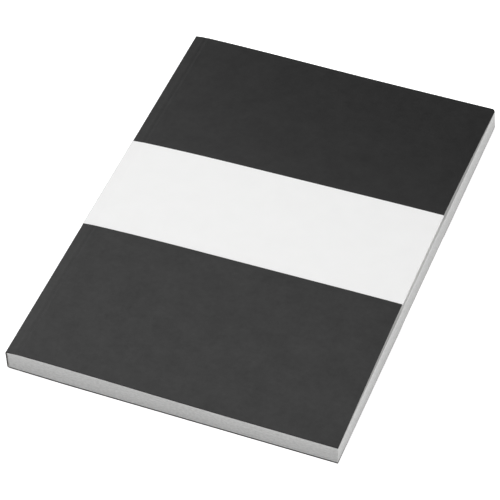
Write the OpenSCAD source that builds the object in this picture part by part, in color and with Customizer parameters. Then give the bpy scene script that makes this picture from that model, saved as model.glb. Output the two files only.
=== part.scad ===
// Softcover notebook, perfect bound, with a loose paper band tucked in at both covers. Millimetres.
// X runs from the spine to the fore edge, Y from the front short edge to the back one, Z is up.
// The origin is under the middle of the notebook, on the table that it lies on.

/* [Notebook] */
// Width of the pages and covers, from the outside of the spine to the fore edge
page_w = 148; // [100:1:220]
// Length of the pages and covers, along the spine
page_l = 210; // [140:1:300]
// Thickness of the closed notebook at its fore corners, both covers included
book_t = 10; // [6:0.5:20]

/* [Cover card] */
// Thickness of the cover card
card_t = 0.5; // [0.3:0.05:0.8]
// Distance of the scored hinge lines from the outside of the spine
score_x = 5.6; // [4:0.1:8]
// Width of the pressed score line across its groove
score_w = 2.4; // [1:0.1:3]
// Depth of the pressed score line in the outer face
score_depth = 0.2; // [0.05:0.01:0.25]
// Inner radius of the two folds along the spine
crease_r = 0.3; // [0.1:0.05:0.6]
// Gap between the spine strip and each cover panel at the score line
hinge_gap = 0.1; // [0.05:0.05:0.3]

/* [Sprung front cover] */
// How high the middle of the front cover's fore edge stands above its corners
fore_lift = 3.95; // [1.5:0.05:8]
// How fast the lift grows away from the hinge, where 1 is a straight ramp
lift_ease = 1.7; // [1:0.1:2.5]
// How round the lifted fore edge is from corner to corner, where 1 is half a sine wave
lift_round = 1.15; // [1:0.05:1.6]
// How much more the back half of that edge is lifted than the front half
lift_lean = 0.27; // [0:0.01:0.5]

/* [Swelling at the spine] */
// Extra thickness of the glued side of the block at its highest line
swell_h = 1.03; // [0.2:0.01:2]
// Distance of that highest line from the spine
swell_x = 18; // [12:1:30]
// How far the swelling spreads towards the fore edge
swell_spread = 37; // [20:1:60]
// How far the strip between the front score and the spine falls away towards the spine
shoulder_drop = 0.55; // [0.2:0.05:1]
// How high the back of the spine stands off the table
foot_lift = 0.5; // [0:0.05:1]
// Width of the strip beside the spine that stands off the table
foot_w = 27; // [15:1:60]

/* [Trimmed fore edge] */
// How far the foot of the pages stands out past their top at the fore edge
fore_slant = 0.55; // [0:0.05:1]

/* [Binding glue] */
// Thickness of the glue between the spine of the block and the cover
glue_t = 0.4; // [0.2:0.05:1]
// Thickness of the glue film under the cover, from the spine to the score lines
film_t = 0.1; // [0.05:0.01:0.2]

/* [Paper band] */
// Width of the band, along the spine
band_w = 55; // [20:0.5:100]
// Thickness of the band's paper
band_t = 0.15; // [0.1:0.01:0.25]
// How far the middle of the band lies from the middle of the notebook, towards the back
band_shift = 1.85; // [-30:0.05:30]
// Length of the end of the band that is tucked inside each cover
flap_len = 50; // [20:1:80]
// Air between the band and the card that it is wrapped round
paper_gap = 0.05; // [0.03:0.01:0.1]
// Room around the tucked end where it has pressed a pocket into the last pages
pocket_room = 0.3; // [0.1:0.1:1]

/* [Hidden] */

card_color = "#3b3b3c";
paper_color = "#f2f2f1";
page_color = "#dcdcda";
glue_color = "#e9e4d2";

// Number of facets along the front cover, across it on each side of the band, and across the band
steps_x = 14;
steps_side = 6;
steps_band = 4;
// The facets are closer together near the hinge by this power
step_power = 1.5;
steps_flange = 4;
steps_fold = 6;
steps_flap = 6;
// Each crease of the band is a quarter turn, and the flat paper beside it gives the outermost points
steps_crease = 2;
crease_start = 60;

// How far the band stands out from the card, which lifts the back cover off the table
band_out = paper_gap + band_t;
base_z = band_out;
band_front_y = page_l / 2 + band_shift - band_w / 2;
band_back_y = band_front_y + band_w;
// How far the notebook reaches past the top of the fore edge
fore_reach = max(band_out, fore_slant);
glue_x = card_t + glue_t;
crease_x = card_t + crease_r;
strip_x = score_x - hinge_gap / 2;
panel_x = score_x + hinge_gap / 2;

// Height of the outer face of the front cover where it lies on the pages
function swell_at(x) = swell_h * exp(-pow((x - swell_x) / swell_spread, 2) / 2);
function shoulder_at(x) = shoulder_drop * max(0, 1 - x / score_x);
function top_z(x) = base_z + book_t + swell_at(x) - shoulder_at(x);

// Height of the outer face of the back cover
function foot_z(x) = base_z + foot_lift * max(0, 1 - x / foot_w);

// Lift of the front cover off the pages: none at the hinge and at both short edges
function hinge_to_fore(x) = max(0, (x - score_x) / (page_w - score_x));
function lift_along(x) = 1 - pow(max(0, 1 - hinge_to_fore(x)), lift_ease);
function lean_across(y) = 1 + lift_lean * (2 * y / page_l - 1);
function lift_across(y) = lean_across(y) * pow(max(0, sin(180 * y / page_l)), lift_round);
function cover_z(x, y) = top_z(x) + fore_lift * lift_along(x) * lift_across(y);

// Depth of the score groove, V-shaped across the hinge line
function score_at(x) = score_depth * max(0, 1 - 2 * abs(x - score_x) / score_w);

// Stations across the spine strip, across the panels and along the length
function flange_xs() = let (end = score_x - score_w / 2) concat(
    [for (k = [0 : steps_flange]) crease_x + (end - crease_x) * k / steps_flange], [strip_x]);
function panel_xs() = let (start = score_x + score_w / 2) concat(
    [panel_x], [for (k = [0 : steps_x]) start + (page_w - start) * pow(k / steps_x, step_power)]);
function flap_xs() = [for (k = [0 : steps_flap]) page_w - flap_len * k / steps_flap];
function span(a, b, n) = [for (k = [0 : n]) a + (b - a) * k / n];
function band_ys() = span(band_front_y, band_back_y, steps_band);
function cover_ys() = concat(
    [for (y = span(0, band_front_y, steps_side)) if (y < band_front_y) y],
    band_ys(),
    [for (y = span(band_back_y, page_l, steps_side)) if (y > band_back_y) y]);

function reversed(list) = [for (k = [len(list) - 1 : -1 : 0]) list[k]];
function arc(cx, cz, r, from, to, n) = [for (a = span(from, to, n)) [cx + r * cos(a), cz + r * sin(a)]];

// A line that runs round the spine, from the top score to the bottom one, inset from the card's outer face
function wrap_line(inset, groove) = let (r = crease_x - inset) concat(
    [for (x = reversed(flange_xs())) [x, top_z(x) - inset - groove * score_at(x)]],
    arc(crease_x, top_z(crease_x) - crease_x, r, 90, 180, steps_fold),
    arc(crease_x, foot_z(crease_x) + crease_x, r, 180, 270, steps_fold),
    [for (x = flange_xs()) [x, foot_z(x) + inset + groove * score_at(x)]]);

// The outline of the glued side of the block, from the top score to the bottom one
function block_xs() = concat([glue_x], [for (x = flange_xs()) if (x > glue_x) x]);
function block_line() = concat(
    [for (x = reversed(block_xs())) [x, top_z(x) - card_t - film_t]],
    [for (x = block_xs()) [x, foot_z(x) + card_t + film_t]]);

// Draws an outline of [x, z] points as a solid from one y to another
module along_y(outline, from, to) {
    translate([0, to, 0])
        rotate([90, 0, 0])
            linear_extrude(height = to - from)
                polygon(outline);
}

// Joins closed rings of points, one ring behind the other, into one solid
module loft(rings) {
    n = len(rings[0]);
    last = len(rings) - 1;
    points = [for (ring = rings) each ring];
    sides = [for (j = [0 : last - 1], i = [0 : n - 1])
        let (a = j * n + i, b = j * n + (i + 1) % n)
            each [[a, b + n, b], [a, a + n, b + n]]];
    front = [for (i = [0 : n - 1]) i];
    back = [for (i = [n - 1 : -1 : 0]) last * n + i];
    polyhedron(points = points, faces = concat(sides, [front, back]));
}

// Moves a piece from the spine's front corner to the middle of the notebook, band included
module placed() {
    translate([-(page_w + fore_reach - band_out) / 2, -page_l / 2, 0])
        children();
}

// All the leaves as one block: swollen at the glued side, with a fore edge that leans out at its foot
module page_block() {
    top = [for (x = reversed(panel_xs())) [x, top_z(x) - card_t - film_t]];
    foot = [for (x = [foot_w, page_w + fore_slant]) [x, foot_z(x) + card_t + film_t]];
    color(page_color)
        placed()
            difference() {
                along_y(concat(top, block_line(), foot), 0, page_l);
                tuck_pocket();
            }
}

// The shallow pocket that the band's lower end has pressed into the last pages
module tuck_pocket() {
    top = base_z + card_t + band_out + paper_gap;
    depth = flap_len + pocket_room;
    translate([page_w - depth, band_front_y - pocket_room, 0])
        cube([depth + fore_slant + pocket_room, band_w + 2 * pocket_room, top]);
}

// Hot glue along the spine of the block, with a thin film under the cover as far as the score lines
module spine_glue() {
    color(glue_color)
        placed()
            along_y(concat(wrap_line(card_t, 0), reversed(block_line())), 0, page_l);
}

// The middle of the one sheet of cover card: the spine and the two glued strips beside it
module cover_spine() {
    color(card_color)
        placed()
            along_y(concat(wrap_line(0, 1), reversed(wrap_line(card_t, 0))), 0, page_l);
}

// The front panel of the cover, bowed up along its fore edge
module front_cover() {
    rings = [for (y = cover_ys()) concat(
        [for (x = panel_xs()) [x, y, cover_z(x, y) - score_at(x)]],
        [for (x = reversed(panel_xs())) [x, y, cover_z(x, y) - card_t]])];
    color(card_color)
        placed()
            loft(rings);
}

// The back panel of the cover, flat on the table apart from the strip beside the spine
module back_cover() {
    xs = [panel_x, score_x + score_w / 2, foot_w, page_w];
    outer = [for (x = xs) [x, foot_z(x) + score_at(x)]];
    inner = [for (x = reversed(xs)) [x, foot_z(x) + card_t]];
    color(card_color)
        placed()
            along_y(concat(outer, inner), 0, page_l);
}

// The middle of the one strip of paper: the part that runs round the spine
module band_spine() {
    color(paper_color)
        placed()
            along_y(
                concat(wrap_line(-band_out, 0), reversed(wrap_line(-paper_gap, 0))), band_front_y, band_back_y);
}

// The band's two creases round the cut edge of a cover, off the card by a distance. They go from one
// face of the cover, at height from_z, to the other one, and turn is 1 downwards and -1 upwards.
function crease_line(from_z, turn, off) = concat(
    arc(page_w, from_z, off, turn * crease_start, 0, steps_crease),
    arc(page_w, from_z - turn * card_t, off, 0, -turn * crease_start, steps_crease));

// A line of [x, z] points along the front of the band, off the card by a distance: over the
// front cover, round its fore edge and back under it to the tucked end
function band_line(y, off) = concat(
    [for (x = panel_xs()) [x, cover_z(x, y) + off]],
    crease_line(cover_z(page_w, y), 1, off),
    [for (x = flap_xs()) [x, cover_z(x, y) - card_t - off]]);

// The front of the paper strip: it follows the bowed cover and is folded in at the fore edge
module band_front() {
    rings = [for (y = band_ys())
        [for (p = concat(band_line(y, band_out), reversed(band_line(y, paper_gap)))) [p[0], y, p[1]]]];
    color(paper_color)
        placed()
            loft(rings);
}

// A line of [x, z] points along the back of the band, off the card by a distance
function band_foot_line(off) = concat(
    [for (x = [panel_x, foot_w, page_w]) [x, foot_z(x) - off]],
    crease_line(foot_z(page_w), -1, off),
    [for (x = [page_w, page_w - flap_len]) [x, foot_z(page_w) + card_t + off]]);

// The back of the paper strip: it lies between the cover and the table and is folded in as well
module band_back() {
    color(paper_color)
        placed()
            along_y(
                concat(band_foot_line(band_out), reversed(band_foot_line(paper_gap))), band_front_y, band_back_y);
}

page_block();
spine_glue();
cover_spine();
front_cover();
back_cover();
band_spine();
band_front();
band_back();
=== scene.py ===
import math

import bpy
import numpy as np
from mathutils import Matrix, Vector


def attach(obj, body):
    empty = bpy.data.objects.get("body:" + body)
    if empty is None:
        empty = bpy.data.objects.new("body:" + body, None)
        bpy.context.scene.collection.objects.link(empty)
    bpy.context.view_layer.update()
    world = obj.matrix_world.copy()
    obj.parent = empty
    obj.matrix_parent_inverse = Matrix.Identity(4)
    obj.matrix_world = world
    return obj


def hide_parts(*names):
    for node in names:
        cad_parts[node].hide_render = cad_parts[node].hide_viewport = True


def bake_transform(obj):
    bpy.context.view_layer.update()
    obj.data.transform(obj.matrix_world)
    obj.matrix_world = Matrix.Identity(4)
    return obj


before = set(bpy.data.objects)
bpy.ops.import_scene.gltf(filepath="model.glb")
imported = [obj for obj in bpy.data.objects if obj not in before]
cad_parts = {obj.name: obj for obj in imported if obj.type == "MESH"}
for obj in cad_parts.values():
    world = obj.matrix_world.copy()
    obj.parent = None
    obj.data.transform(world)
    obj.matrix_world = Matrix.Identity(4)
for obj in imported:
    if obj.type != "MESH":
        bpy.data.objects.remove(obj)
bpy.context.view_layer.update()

# Sizes in millimetres, as in the part's source. X runs from the spine to the fore edge here.
PAGE_W, PAGE_L, BOOK_T = 148.0, 210.0, 10.0
CARD_T, CREASE_R = 0.5, 0.3
SCORE_X, SCORE_W, SCORE_DEPTH, HINGE_GAP = 5.6, 2.4, 0.2, 0.1
FORE_LIFT, LIFT_EASE, LIFT_ROUND, LIFT_LEAN = 3.95, 1.7, 1.15, 0.27
# The trimmed fore edge leans out at its foot
FORE_SLANT = 0.55
SWELL_H, SWELL_X, SWELL_SPREAD = 1.03, 18.0, 37.0
SHOULDER_DROP = 0.55
FOOT_LIFT, FOOT_W = 0.5, 27.0
GLUE_T, FILM_T = 0.4, 0.1
BAND_W, BAND_T, BAND_SHIFT, FLAP_LEN, PAPER_GAP = 55.0, 0.15, 1.85, 50.0, 0.05

# Wear of this copy, in millimetres, which the part's source leaves out.
# The trim runs out a little towards the back, at the top and at the foot
TOP_SKEW, FOOT_SKEW = 0.13, 0.15
# The fore edge stands nearly upright near the front corner
TOP_NEAR, FOOT_NEAR, FRONT_SPREAD = 0.3, -0.3, 30.0
# The pages' top stands out beyond the bowed cover
PAGES_OUT = 0.15
# The back fore corner is knocked soft, on the back cover and on the pages by a share of this radius
CORNER_R, BACK_SHARE, PAGE_SHARE = 1.6, 0.7, 0.9
# The trim's error fades out over this distance from the fore edge
TRIM_FADE = 12.0
# The last leaves bend up round the band's end, over this room and this reach
POCKET_ROOM, POCKET_REACH = 0.3, 4.0

BAND_OUT = PAPER_GAP + BAND_T
BASE_Z = BAND_OUT
BAND_Y0 = PAGE_L / 2 + BAND_SHIFT - BAND_W / 2
BAND_Y1 = BAND_Y0 + BAND_W
CREASE_X = CARD_T + CREASE_R
STRIP_X = SCORE_X - HINGE_GAP / 2
# The card and the paper bend over this distance when a cover turns
BEND_W = 1.3
FORE_REACH = max(BAND_OUT, FORE_SLANT)
CENTRE = np.array([(PAGE_W + FORE_REACH - BAND_OUT) / 2, PAGE_L / 2, 0.0])


def place(points):
    """Millimetres from the spine's front corner to metres in the frame."""
    return (np.asarray(points, float) - CENTRE) / 1000


# The camera solved from the photo

camera = bpy.data.objects.new("camera", bpy.data.cameras.new("camera"))
camera.data.sensor_width = 36
camera.data.lens = 174.963
camera.data.clip_start = 0.05
camera.location = (0.2847, -0.679322, 0.777246)
camera.rotation_euler = [math.radians(a) for a in (43.2526, 1.5983, 21.4563)]
bpy.context.scene.collection.objects.link(camera)
bpy.context.scene.camera = camera


# The shape of the covers and of the block, as in the part's source

def top_z(x):
    """The front cover's outer face, closed and flat on the swollen pages."""
    swell = SWELL_H * np.exp(-(((x - SWELL_X) / SWELL_SPREAD) ** 2) / 2)
    shoulder = SHOULDER_DROP * np.maximum(0, 1 - x / SCORE_X)
    return BASE_Z + BOOK_T + swell - shoulder


def foot_z(x):
    """The back cover's outer face, which rises towards the spine."""
    return BASE_Z + FOOT_LIFT * np.maximum(0, 1 - x / FOOT_W)


def lift(x, y):
    """How far the sprung front cover stands off."""
    along = np.clip((x - SCORE_X) / (PAGE_W - SCORE_X), 0, 1)
    across = np.maximum(0, np.sin(np.pi * np.clip(y / PAGE_L, 0, 1))) ** LIFT_ROUND
    lean = 1 + LIFT_LEAN * (2 * y / PAGE_L - 1)
    return FORE_LIFT * (1 - (1 - along) ** LIFT_EASE) * across * lean


def score(x):
    """The depth of the V-shaped score line."""
    near = np.clip(2 * np.abs(x - SCORE_X) / SCORE_W, 0, 1)
    return SCORE_DEPTH * (1 - near)


def worn(x, y, r):
    """Rounds the corner of the fore edge and the back edge, which is knocked soft."""
    if r <= 0:
        return x, y
    a = np.clip((x - (PAGE_W - r)) / r, 0, None)
    b = np.clip((y - (PAGE_L - r)) / r, 0, None)
    far, hyp = np.maximum(a, b), np.hypot(a, b)
    inside = (a > 0) & (b > 0)
    k = np.where(inside, far / np.maximum(hyp, 1e-9), 1.0)
    return np.where(inside, PAGE_W - r + a * k * r, x), np.where(inside, PAGE_L - r + b * k * r, y)


def fore_out(x, y, skew, near, shift=0.0):
    """How far a point near the fore edge lies out from the square outline."""
    front = near * np.exp(-y / FRONT_SPREAD)
    return np.clip((x - PAGE_W + TRIM_FADE) / TRIM_FADE, 0, 1) * (shift + skew * (2 * y / PAGE_L - 1) + front)


def stations(*parts):
    """Sorted numbers without near doubles."""
    s = np.unique(np.round(np.concatenate([np.atleast_1d(p) for p in parts]), 5))
    keep = [s[0]]
    for v in s[1:]:
        if v - keep[-1] > 1e-4:
            keep.append(v)
    return np.array(keep)


# Meshes

def finish_mesh(name, points, faces, uv, kinds, materials, sharp=40):
    mesh = bpy.data.meshes.new(name)
    mesh.from_pydata([tuple(p) for p in place(points)], [], [tuple(f) for f in faces])
    mesh.update()
    mesh.polygons.foreach_set("material_index", np.asarray(kinds, np.int32))
    layer = mesh.uv_layers.new(name="flat")
    loops = np.zeros(len(mesh.loops), np.int32)
    mesh.loops.foreach_get("vertex_index", loops)
    layer.data.foreach_set("uv", (np.asarray(uv, float)[loops] / 1000).astype(np.float32).ravel())
    for m in materials:
        mesh.materials.append(m)
    mesh.polygons.foreach_set("use_smooth", np.ones(len(mesh.polygons), bool))
    mesh.set_sharp_from_angle(angle=math.radians(sharp))
    mesh.validate()
    piece = bpy.data.objects.new(name, mesh)
    bpy.context.scene.collection.objects.link(piece)
    return piece


def sheet(name, outer, inner, uv, materials, flip=False):
    """A thin sheet between two grids of points, [y][x], with its four cut edges."""
    ny, nx = outer.shape[:2]
    n = ny * nx
    at = np.arange(n).reshape(ny, nx)
    a, b, c, d = at[:-1, :-1], at[:-1, 1:], at[1:, 1:], at[1:, :-1]
    top = np.stack([a, b, c, d], -1).reshape(-1, 4)
    foot = np.stack([d, c, b, a], -1).reshape(-1, 4) + n

    def wall(line):
        return np.stack([line[:-1], line[:-1] + n, line[1:] + n, line[1:]], -1)

    walls = np.concatenate([wall(at[0]), wall(at[:, -1]), wall(at[-1][::-1]), wall(at[:, 0][::-1])])
    faces = np.concatenate([top, foot, walls])
    if flip:
        faces = faces[:, ::-1]
    kinds = [0] * (len(top) + len(foot)) + [1] * len(walls)
    points = np.concatenate([outer.reshape(-1, 3), inner.reshape(-1, 3)])
    flat = np.concatenate([uv.reshape(-1, 2), uv.reshape(-1, 2)])
    return finish_mesh(name, points, faces, flat, kinds, materials)


def lines_to_sheet(name, ys, outer_at, inner_at, materials, flip=False, shape=None):
    """A sheet from [x, z] lines that run across the book, one line for each y."""
    outer = np.array([[(x, y, z) for x, z in outer_at(y)] for y in ys])
    inner = np.array([[(x, y, z) for x, z in inner_at(y)] for y in ys])
    step = np.linalg.norm(np.diff(outer[len(ys) // 2], axis=0), axis=1)
    run = np.concatenate([[0], np.cumsum(step)])
    uv = np.stack(np.broadcast_arrays(run[None, :], ys[:, None]), -1)
    if shape:
        outer, inner = shape(outer), shape(inner)
    return sheet(name, outer, inner, uv, materials, flip)


def arc(cx, cz, r, start, end, n):
    """Points of an arc, with its angles in degrees."""
    turns = np.radians(np.linspace(start, end, n))
    return [(cx + r * math.cos(t), cz + r * math.sin(t)) for t in turns]


# Materials

# The four sides of the block lie one behind the other in flat coordinates, this far apart in millimetres
SIDE_STEP = 400.0


def material(name):
    m = bpy.data.materials.new(name)
    m.use_nodes = True
    tree = m.node_tree
    shader = tree.nodes["Principled BSDF"]
    return m, tree, shader


def node(tree, kind, **inputs):
    n = tree.nodes.new(kind)
    for key, value in inputs.items():
        n.inputs[key.replace("_", " ")].default_value = value
    return n


def noise(tree, coords, scale, detail=4.0, roughness=0.55, stretch=(1, 1, 1)):
    """Fractal noise over a piece's flat coordinates, in metres."""
    move = node(tree, "ShaderNodeMapping", Scale=stretch)
    tex = node(tree, "ShaderNodeTexNoise", Scale=scale, Detail=detail, Roughness=roughness)
    tree.links.new(coords, move.inputs["Vector"])
    tree.links.new(move.outputs["Vector"], tex.inputs["Vector"])
    return tex.outputs["Fac"]


def ramp(tree, value, low, high, start=0.3, end=0.7):
    """Turns a value between start and end into a colour between low and high."""
    r = tree.nodes.new("ShaderNodeValToRGB")
    r.color_ramp.elements[0].position, r.color_ramp.elements[1].position = start, end
    r.color_ramp.elements[0].color = (*low, 1)
    r.color_ramp.elements[1].color = (*high, 1)
    tree.links.new(value, r.inputs["Fac"])
    return r.outputs["Color"]


def multiply(tree, a, b):
    mix = tree.nodes.new("ShaderNodeMix")
    mix.data_type, mix.blend_type = "RGBA", "MULTIPLY"
    mix.inputs["Factor"].default_value = 1.0
    tree.links.new(a, mix.inputs["A"])
    tree.links.new(b, mix.inputs["B"])
    return mix.outputs["Result"]


def bump(tree, shader, height, distance, after=None):
    """Unevenness of a height in metres: on a shader or, without one, under a finer bump."""
    b = node(tree, "ShaderNodeBump", Strength=1.0, Distance=distance)
    tree.links.new(height, b.inputs["Height"])
    if after:
        tree.links.new(after, b.inputs["Normal"])
    if shader:
        tree.links.new(b.outputs["Normal"], shader.inputs["Normal"])
    return b.outputs["Normal"]


def grey(v):
    return (v, v, v)


def flat_coords(tree):
    return tree.nodes.new("ShaderNodeTexCoord").outputs["UV"]


def card_material(name, sheen_low, sheen_high):
    """Uncoated card, dyed through: fine fibres, soft blotches and a matte sheen."""
    m, tree, shader = material(name)
    coords = flat_coords(tree)
    blotch = ramp(tree, noise(tree, coords, 260, 5), grey(0.0018), grey(0.0040), 0.35, 0.65)
    grain = ramp(tree, noise(tree, coords, 2600, 3, 0.7), grey(0.7), grey(1.3))
    tree.links.new(multiply(tree, blotch, grain), shader.inputs["Base Color"])
    rough = node(tree, "ShaderNodeMapRange", To_Min=0.395, To_Max=0.595)
    tree.links.new(noise(tree, coords, 420, 4), rough.inputs["Value"])
    tree.links.new(rough.outputs["Result"], shader.inputs["Roughness"])
    soft = bump(tree, None, noise(tree, coords, 150, 3), 0.00004)
    bump(tree, shader, noise(tree, coords, 3200, 4, 0.7), 0.00001, after=soft)
    sheen = node(tree, "ShaderNodeMapRange", To_Min=sheen_low, To_Max=sheen_high)
    tree.links.new(noise(tree, coords, 75, 7, 0.8), sheen.inputs["Value"])
    tree.links.new(sheen.outputs["Result"], shader.inputs["Specular IOR Level"])
    return m


def card_edge_material():
    """The cut edge of the card, where the fibres are open and duller."""
    m, tree, shader = material("card_edge")
    coords = flat_coords(tree)
    fibre = ramp(tree, noise(tree, coords, 2500, 4, 0.7), grey(0.018), grey(0.034))
    tree.links.new(fibre, shader.inputs["Base Color"])
    bump(tree, shader, noise(tree, coords, 4000, 3, 0.7), 0.00003)
    shader.inputs["Roughness"].default_value = 0.9
    shader.inputs["Specular IOR Level"].default_value = 0.2
    return m


def band_material():
    """Smooth white paper with a faint fibre."""
    m, tree, shader = material("band_paper")
    coords = flat_coords(tree)
    cloud = ramp(tree, noise(tree, coords, 90, 4), (0.862, 0.862, 0.858), (0.878, 0.878, 0.875))
    fibre = ramp(tree, noise(tree, coords, 1800, 4, 0.7), grey(0.985), grey(1.0))
    tree.links.new(multiply(tree, cloud, fibre), shader.inputs["Base Color"])
    soft = bump(tree, None, noise(tree, coords, 45, 2), 0.00006)
    bump(tree, shader, noise(tree, coords, 2600, 4, 0.7), 0.000006, after=soft)
    shader.inputs["Roughness"].default_value = 0.62
    shader.inputs["Specular IOR Level"].default_value = 0.3
    return m


def page_material():
    """The face of an uncoated page."""
    m, tree, shader = material("page_face")
    coords = flat_coords(tree)
    fibre = ramp(tree, noise(tree, coords, 900, 5, 0.7), (0.68, 0.68, 0.67), (0.72, 0.72, 0.71))
    tree.links.new(fibre, shader.inputs["Base Color"])
    bump(tree, shader, noise(tree, coords, 2400, 4, 0.7), 0.00001)
    shader.inputs["Roughness"].default_value = 0.85
    shader.inputs["Specular IOR Level"].default_value = 0.2
    return m


def leaves_material():
    """The trimmed edges of the leaves: fine lines along the block, a little uneven from leaf to leaf."""
    m, tree, shader = material("page_edges")
    coords = flat_coords(tree)
    leaf = noise(tree, coords, 1.0, 3, 0.6, stretch=(14, 9500, 1))
    bundle = noise(tree, coords, 1.0, 3, 0.6, stretch=(9, 1300, 1))
    speck = noise(tree, coords, 1.0, 3, 0.6, stretch=(700, 1200, 1))
    lines = multiply(tree, ramp(tree, leaf, grey(0.9), grey(1.04)), ramp(tree, speck, grey(0.88), grey(1.12)))
    bands = ramp(tree, bundle, (0.636, 0.636, 0.631), (0.695, 0.695, 0.69))
    split = tree.nodes.new("ShaderNodeSeparateXYZ")
    tree.links.new(coords, split.inputs[0])
    height = node(tree, "ShaderNodeMapRange", From_Max=BOOK_T / 1000)
    tree.links.new(split.outputs["Y"], height.inputs["Value"])
    # Painted shade and light: the leaves are darker towards the foot, for the shade near the table, and the
    # topmost ones lighter, for the light from above that reaches them under the cover
    painted_light_and_shade = ramp(tree, height.outputs["Result"], grey(0.82), grey(1.0), 0.0, 0.85)
    for at, value in ((0.2, 0.87), (1.0, 1.1)):
        painted_light_and_shade.node.color_ramp.elements.new(at).color = (*grey(value), 1)
    # Painted light: the fore edge, the third side in flat coordinates, is lighter over its last 100 mm at the
    # back, where more light falls
    fore_end = (2 * SIDE_STEP + PAGE_L) / 1000
    painted_light_at_back = node(tree, "ShaderNodeMapRange", From_Min=fore_end - 0.1, From_Max=fore_end)
    tree.links.new(split.outputs["X"], painted_light_at_back.inputs["Value"])
    painted_light_and_shade = multiply(tree, painted_light_and_shade, ramp(tree, painted_light_at_back.outputs["Result"], grey(0.955), grey(0.995), 0.0, 1.0))
    tree.links.new(multiply(tree, multiply(tree, bands, lines), painted_light_and_shade), shader.inputs["Base Color"])
    rub = bump(tree, None, noise(tree, coords, 500, 4, 0.6, stretch=(1, 3, 1)), 0.00003)
    bump(tree, shader, leaf, 0.00004, after=rub)
    shader.inputs["Roughness"].default_value = 0.9
    shader.inputs["Specular IOR Level"].default_value = 0.2
    return m


def glue_material():
    """Hot glue: slightly clouded, slightly glossy, and translucent, so that the dark card shows through."""
    m, tree, shader = material("glue")
    coords = tree.nodes.new("ShaderNodeTexCoord").outputs["Object"]
    cloud = ramp(tree, noise(tree, coords, 700, 4), (0.78, 0.75, 0.62), (0.85, 0.82, 0.71))
    tree.links.new(cloud, shader.inputs["Base Color"])
    bump(tree, shader, noise(tree, coords, 900, 4), 0.00006)
    shader.inputs["Roughness"].default_value = 0.45
    shader.inputs["Transmission Weight"].default_value = 0.85
    return m


CARD = card_material("card", 0.41, 0.815)
CARD_EDGE = card_edge_material()
# The strips beside the spine are given a stronger sheen than the panels: a painted highlight for the light
# that their tilt towards the spine catches
CARD_SPINE = card_material("card_spine", 0.435, 0.86)
PAPER = band_material()
PAGE, LEAVES, GLUE = page_material(), leaves_material(), glue_material()

# Stations across the panels and along the length, close together where the sheets bend
NEAR_X, FAR_X, FINE_STEP = 7.2, 12.0, 0.6
bend_xs = STRIP_X + np.linspace(0, BEND_W, 14)
far_xs = np.linspace(FAR_X, PAGE_W - CORNER_R, 70)
corner = np.array([0, 0.15, 0.35, 0.6, 0.8, 0.92, 1.0]) * CORNER_R
corner_xs = PAGE_W - CORNER_R + corner
panel_xs = stations(
    bend_xs, SCORE_X, SCORE_X + SCORE_W / 2, np.arange(NEAR_X, FAR_X, FINE_STEP), far_xs, corner_xs)
block_xs = stations(CARD_T + GLUE_T, np.linspace(1, FAR_X, 12), far_xs, corner_xs)
long_ys = stations(np.linspace(0, PAGE_L - CORNER_R, 106), BAND_Y0, BAND_Y1, PAGE_L - CORNER_R + corner)
score_start = SCORE_X - SCORE_W / 2
wrap_xs = stations(np.linspace(CREASE_X, score_start, 8), np.linspace(score_start, STRIP_X, 4))


def wrap_line(inset, groove):
    """Round the spine, from the top score to the bottom one, inset from the card's outer face."""
    r = CREASE_X - inset
    top = [(x, top_z(x) - inset - groove * score(x)) for x in wrap_xs[::-1]]
    foot = [(x, foot_z(x) + inset + groove * score(x)) for x in wrap_xs]
    back = arc(CREASE_X, top_z(CREASE_X) - CREASE_X, r, 90, 180, 9)[1:]
    low, high = foot_z(CREASE_X) + CREASE_X, top_z(CREASE_X) - CREASE_X
    side = [(CREASE_X - r, z) for z in np.linspace(high, low, 12)[1:-1]]
    return top + back + side + arc(CREASE_X, low, r, 180, 270, 9)[:-1] + foot


# The cover: one sheet of card, in three pieces that meet at the scores

def shift_corner(r):
    def shape(grid):
        x, y = worn(grid[..., 0], grid[..., 1], r)
        return np.stack([x + fore_out(grid[..., 0], grid[..., 1], TOP_SKEW, TOP_NEAR), y, grid[..., 2]], -1)
    return shape


front = lines_to_sheet(
    "cover_front_panel", long_ys,
    lambda y: [(x, top_z(x) + lift(x, y) - score(x)) for x in panel_xs],
    lambda y: [(x, top_z(x) + lift(x, y) - CARD_T) for x in panel_xs],
    [CARD, CARD_EDGE], shape=shift_corner(CORNER_R))
spine = lines_to_sheet(
    "cover_spine_strip", long_ys,
    lambda y: wrap_line(0, 1),
    lambda y: wrap_line(CARD_T, 0),
    [CARD_SPINE, CARD_EDGE], flip=True)
back = lines_to_sheet(
    "cover_back_panel", long_ys,
    lambda y: [(x, foot_z(x) + score(x)) for x in panel_xs],
    lambda y: [(x, foot_z(x) + CARD_T) for x in panel_xs],
    [CARD, CARD_EDGE], flip=True, shape=shift_corner(CORNER_R * BACK_SHARE))

# The band: one strip of paper, folded in at the fore edges

band_ys = np.linspace(BAND_Y0, BAND_Y1, 40)
flap_xs = np.linspace(PAGE_W, PAGE_W - FLAP_LEN, 26)


def fold(top, foot, off):
    """Round the cut edge of a cover, with a crease at each of its two corners."""
    turn = 1 if top > foot else -1
    return (
        arc(PAGE_W, top, off, 90 * turn, 0, 6)
        + [(PAGE_W + off, top + (foot - top) * k / 4) for k in (1, 2, 3)]
        + arc(PAGE_W, foot, off, 0, -90 * turn, 6)
    )


def band_top_line(y, off):
    z = top_z(PAGE_W) + lift(PAGE_W, y)
    return (
        [(x, top_z(x) + lift(x, y) + off) for x in panel_xs[:-1]]
        + fold(z, z - CARD_T, off)
        + [(x, top_z(x) + lift(x, y) - CARD_T - off) for x in flap_xs[1:]]
    )


def band_foot_line(off):
    return (
        [(x, foot_z(x) - off) for x in panel_xs[:-1]]
        + fold(BASE_Z, BASE_Z + CARD_T, off)
        + [(x, BASE_Z + CARD_T + off) for x in flap_xs[1:]]
    )


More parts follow.
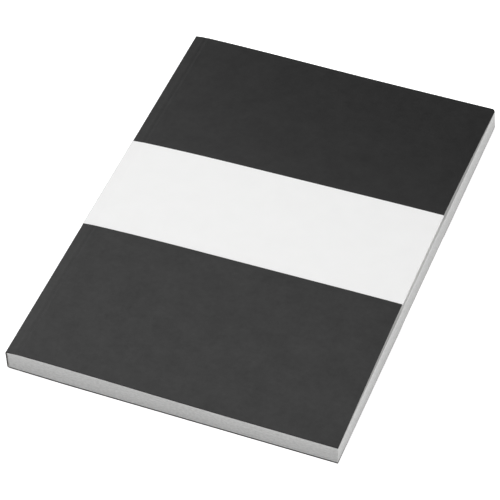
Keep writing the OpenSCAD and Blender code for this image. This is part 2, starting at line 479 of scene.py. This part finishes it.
band_front = lines_to_sheet(
    "band_over_front", band_ys,
    lambda y: band_top_line(y, BAND_OUT),
    lambda y: band_top_line(y, PAPER_GAP),
    [PAPER, PAPER], shape=shift_corner(0))
band_spine = lines_to_sheet(
    "band_round_spine", band_ys,
    lambda y: wrap_line(-BAND_OUT, 0),
    lambda y: wrap_line(-PAPER_GAP, 0),
    [PAPER, PAPER], flip=True)
band_back = lines_to_sheet(
    "band_under_back", band_ys,
    lambda y: band_foot_line(BAND_OUT),
    lambda y: band_foot_line(PAPER_GAP),
    [PAPER, PAPER], flip=True, shape=shift_corner(0))


# The block: every leaf edge follows the swelling, and the last leaves bend up over the band's end

def ease(v):
    v = np.clip(v, 0, 1)
    return v * v * (3 - 2 * v)


def block_point(x, y, t):
    """A point of the block at x and y and a share t of its height, with the worn corner."""
    margin, reach = POCKET_ROOM + POCKET_REACH, POCKET_REACH
    inside = ease((x - (PAGE_W - FLAP_LEN - margin)) / reach)
    inside = inside * ease((y - (BAND_Y0 - margin)) / reach) * ease((BAND_Y1 + margin - y) / reach)
    pocket = inside * (BAND_OUT + PAPER_GAP - FILM_T)
    low = foot_z(x) + CARD_T + FILM_T + pocket
    high = top_z(x) - CARD_T - FILM_T
    z = low + t * (high - low)
    wx, wy = worn(x, y, CORNER_R * PAGE_SHARE)
    foot_out = fore_out(x, y, FOOT_SKEW, FOOT_NEAR, FORE_SLANT)
    top_out = fore_out(x, y, TOP_SKEW, TOP_NEAR, PAGES_OUT)
    return np.stack(np.broadcast_arrays(wx + (1 - t) * foot_out + t * top_out, wy, z), -1)


layers = np.linspace(0, 1, 25)


def grid_faces(start, ny, nx, flip):
    at = start + np.arange(ny * nx).reshape(ny, nx)
    f = np.stack([at[:-1, :-1], at[:-1, 1:], at[1:, 1:], at[1:, :-1]], -1).reshape(-1, 4)
    return f[:, ::-1] if flip else f


def page_block():
    points, uv, faces, kinds = [], [], [], []

    def add(p, q, kind, flip):
        start = sum(len(s) for s in points)
        points.append(p.reshape(-1, 3))
        uv.append(q.reshape(-1, 2))
        f = grid_faces(start, p.shape[0], p.shape[1], flip)
        faces.append(f)
        kinds.extend([kind] * len(f))

    gx, gy = np.meshgrid(block_xs, long_ys)
    for t, flip in ((1.0, False), (0.0, True)):
        add(block_point(gx, gy, t), np.stack([gx, gy], -1), 0, flip)
    # The front, back, fore and spine sides
    tx, lx = np.meshgrid(block_xs, layers)
    ty, ly = np.meshgrid(long_ys, layers)
    sides = (
        (tx, 0.0 * tx, lx, tx, False),
        (tx, 0.0 * tx + PAGE_L, lx, tx, True),
        (0.0 * ty + PAGE_W, ty, ly, ty, False),
        (0.0 * ty + block_xs[0], ty, ly, ty, True),
    )
    for k, (x, y, t, run, flip) in enumerate(sides):
        add(block_point(x, y, t), np.stack([run + k * SIDE_STEP, t * BOOK_T], -1), 1, flip)
    return finish_mesh(
        "page_leaves", np.concatenate(points), np.concatenate(faces), np.concatenate(uv), kinds,
        [PAGE, LEAVES], sharp=35)


block = page_block()

for o, n in ((front, "front_cover"), (spine, "cover_spine"), (back, "back_cover")):
    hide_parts(n)
for o, n in ((band_front, "band_front"), (band_spine, "band_spine"), (band_back, "band_back")):
    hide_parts(n)
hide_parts("page_block")
for o in (spine, band_spine, block):
    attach(o, "block")

for o, body in ((front, "front"), (band_front, "front"), (back, "back"), (band_back, "back")):
    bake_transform(o)

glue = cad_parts["spine_glue"]
glue.data.materials.clear()
glue.data.materials.append(GLUE)


# Floor, backdrop, world and lamps

FLOOR_R, WALL_BEND, WALL_H, WALL_SEGMENTS = 5.0, 0.4, 0.72, 96
# How far in the floor under the raised spine still looks white, in millimetres
SPINE_GLOW = 0.6
# The floor's own glow, at its least near the object and at its most far out, and the distances in metres
GLOW_LEAST, GLOW_MOST, GLOW_NEAR, GLOW_FAR = 0.62, 0.9, 0.22, 0.8


def calc(tree, operation, *values):
    """One sum of shader values and numbers."""
    n = tree.nodes.new("ShaderNodeMath")
    n.operation = operation
    for socket, value in zip(n.inputs, values):
        if isinstance(value, float):
            socket.default_value = value
        else:
            tree.links.new(value, socket)
    return n.outputs[0]


def outside_footprint(tree, coords):
    """1 on the open floor and 0 under the notebook, where its shadow is."""
    split = tree.nodes.new("ShaderNodeSeparateXYZ")
    tree.links.new(coords, split.inputs[0])
    x = calc(tree, "MULTIPLY_ADD", split.outputs["X"], 1000.0, float(CENTRE[0]))
    y = calc(tree, "MULTIPLY_ADD", split.outputs["Y"], 1000.0, float(CENTRE[1]))
    # The foot of the pages along the fore edge
    skew = calc(tree, "MULTIPLY_ADD", y, 2 * FOOT_SKEW / PAGE_L, FORE_SLANT - FOOT_SKEW)
    decay = calc(tree, "EXPONENT", calc(tree, "MINIMUM", calc(tree, "DIVIDE", y, -FRONT_SPREAD), 1.0))
    foot = calc(tree, "ADD", skew, calc(tree, "MULTIPLY", decay, FOOT_NEAR))
    fore = calc(tree, "SUBTRACT", calc(tree, "SUBTRACT", x, PAGE_W), foot)
    spine = calc(tree, "MULTIPLY", x, -1.0)
    # Light gets in under the spine, which stands off the table
    raised = calc(tree, "MAXIMUM", calc(tree, "MULTIPLY_ADD", x, -SPINE_GLOW / FOOT_W, SPINE_GLOW), 0.0)
    end = calc(tree, "ABSOLUTE", calc(tree, "SUBTRACT", y, PAGE_L / 2))
    end = calc(tree, "ADD", calc(tree, "SUBTRACT", end, PAGE_L / 2), raised)
    outside = calc(tree, "MAXIMUM", calc(tree, "MAXIMUM", fore, spine), end)
    edge = node(tree, "ShaderNodeMapRange", From_Min=-0.1, From_Max=0.3)
    tree.links.new(outside, edge.inputs["Value"])
    return edge.outputs["Result"]


def light_path(tree):
    """1 for rays from the camera and for reflected or transmitted ones, and 0 for the rest."""
    path = tree.nodes.new("ShaderNodeLightPath")
    most = path.outputs["Is Camera Ray"]
    for name in ("Is Glossy Ray", "Is Transmission Ray"):
        most = calc(tree, "MAXIMUM", most, path.outputs[name])
    return most


def floor_material():
    m = bpy.data.materials.new("floor")
    m.use_nodes = True
    tree = m.node_tree
    tree.nodes.clear()
    out = tree.nodes.new("ShaderNodeOutputMaterial")
    diffuse = node(tree, "ShaderNodeBsdfDiffuse", Color=(0.95, 0.95, 0.95, 1))
    glow = node(tree, "ShaderNodeEmission", Color=(1, 1, 1, 1))
    seen = light_path(tree)
    # Near the object the floor keeps its shadow, and further out it goes over into the white backdrop
    place_on_floor = tree.nodes.new("ShaderNodeTexCoord").outputs["Object"]
    far = tree.nodes.new("ShaderNodeVectorMath")
    far.operation = "LENGTH"
    tree.links.new(place_on_floor, far.inputs[0])
    level = node(
        tree, "ShaderNodeMapRange", From_Min=GLOW_NEAR, From_Max=GLOW_FAR, To_Min=GLOW_LEAST, To_Max=GLOW_MOST)
    tree.links.new(far.outputs["Value"], level.inputs["Value"])
    lit = calc(tree, "MULTIPLY", level.outputs["Result"], outside_footprint(tree, place_on_floor))
    tree.links.new(lit, glow.inputs["Strength"])
    dim = node(tree, "ShaderNodeEmission", Color=(0, 0, 0, 1), Strength=0.0)
    pick = tree.nodes.new("ShaderNodeMixShader")
    both = tree.nodes.new("ShaderNodeAddShader")
    tree.links.new(seen, pick.inputs[0])
    tree.links.new(dim.outputs[0], pick.inputs[1])
    tree.links.new(glow.outputs[0], pick.inputs[2])
    tree.links.new(diffuse.outputs[0], both.inputs[0])
    tree.links.new(pick.outputs[0], both.inputs[1])
    tree.links.new(both.outputs[0], out.inputs["Surface"])
    return m


def backdrop():
    """A round floor that curves up into a low wall all round, as one sheet."""
    radii, heights = [0.0, 0.4, 1.0, 2.5, FLOOR_R - WALL_BEND], [0.0] * 5
    for t in np.linspace(0, math.pi / 2, 9)[1:]:
        radii.append(FLOOR_R - WALL_BEND + WALL_BEND * math.sin(t))
        heights.append(WALL_BEND * (1 - math.cos(t)))
    radii.append(FLOOR_R)
    heights.append(WALL_H)
    n = WALL_SEGMENTS
    turn = np.linspace(0, 2 * math.pi, n, endpoint=False)
    points = [(0, 0, 0)] + [
        (r * math.cos(a), r * math.sin(a), z) for r, z in zip(radii[1:], heights[1:]) for a in turn]
    faces = [(0, 1 + k, 1 + (k + 1) % n) for k in range(n)]
    for j in range(len(radii) - 2):
        for k in range(n):
            a, b = 1 + j * n + k, 1 + j * n + (k + 1) % n
            faces.append((a, a + n, b + n, b))
    mesh = bpy.data.meshes.new("floor")
    mesh.from_pydata(points, [], faces)
    mesh.polygons.foreach_set("use_smooth", np.ones(len(faces), bool))
    mesh.materials.append(floor_material())
    piece = bpy.data.objects.new("floor", mesh)
    bpy.context.scene.collection.objects.link(piece)
    return piece


backdrop()

world = bpy.data.worlds.new("studio")
bpy.context.scene.world = world
world.use_nodes = True
room = world.node_tree.nodes["Background"]
room.inputs["Color"].default_value = (1, 1, 1, 1)
room.inputs["Strength"].default_value = 0.121


def lamp(name, at, size, energy):
    """A square lamp that points at the object."""
    data = bpy.data.lights.new(name, "AREA")
    data.shape = "SQUARE"
    data.size = size
    data.energy = energy
    o = bpy.data.objects.new(name, data)
    o.location = at
    o.rotation_euler = Vector(at).to_track_quat("Z", "Y").to_euler()
    o.visible_camera = False
    bpy.context.scene.collection.objects.link(o)


lamp("key", (-0.2625, 0.0106, 0.5124), 0.894, 3.36)
lamp("fill", (1.169, -0.516, 1.087), 1.185, 18.4)

bpy.context.scene.view_settings.view_transform = "Standard"
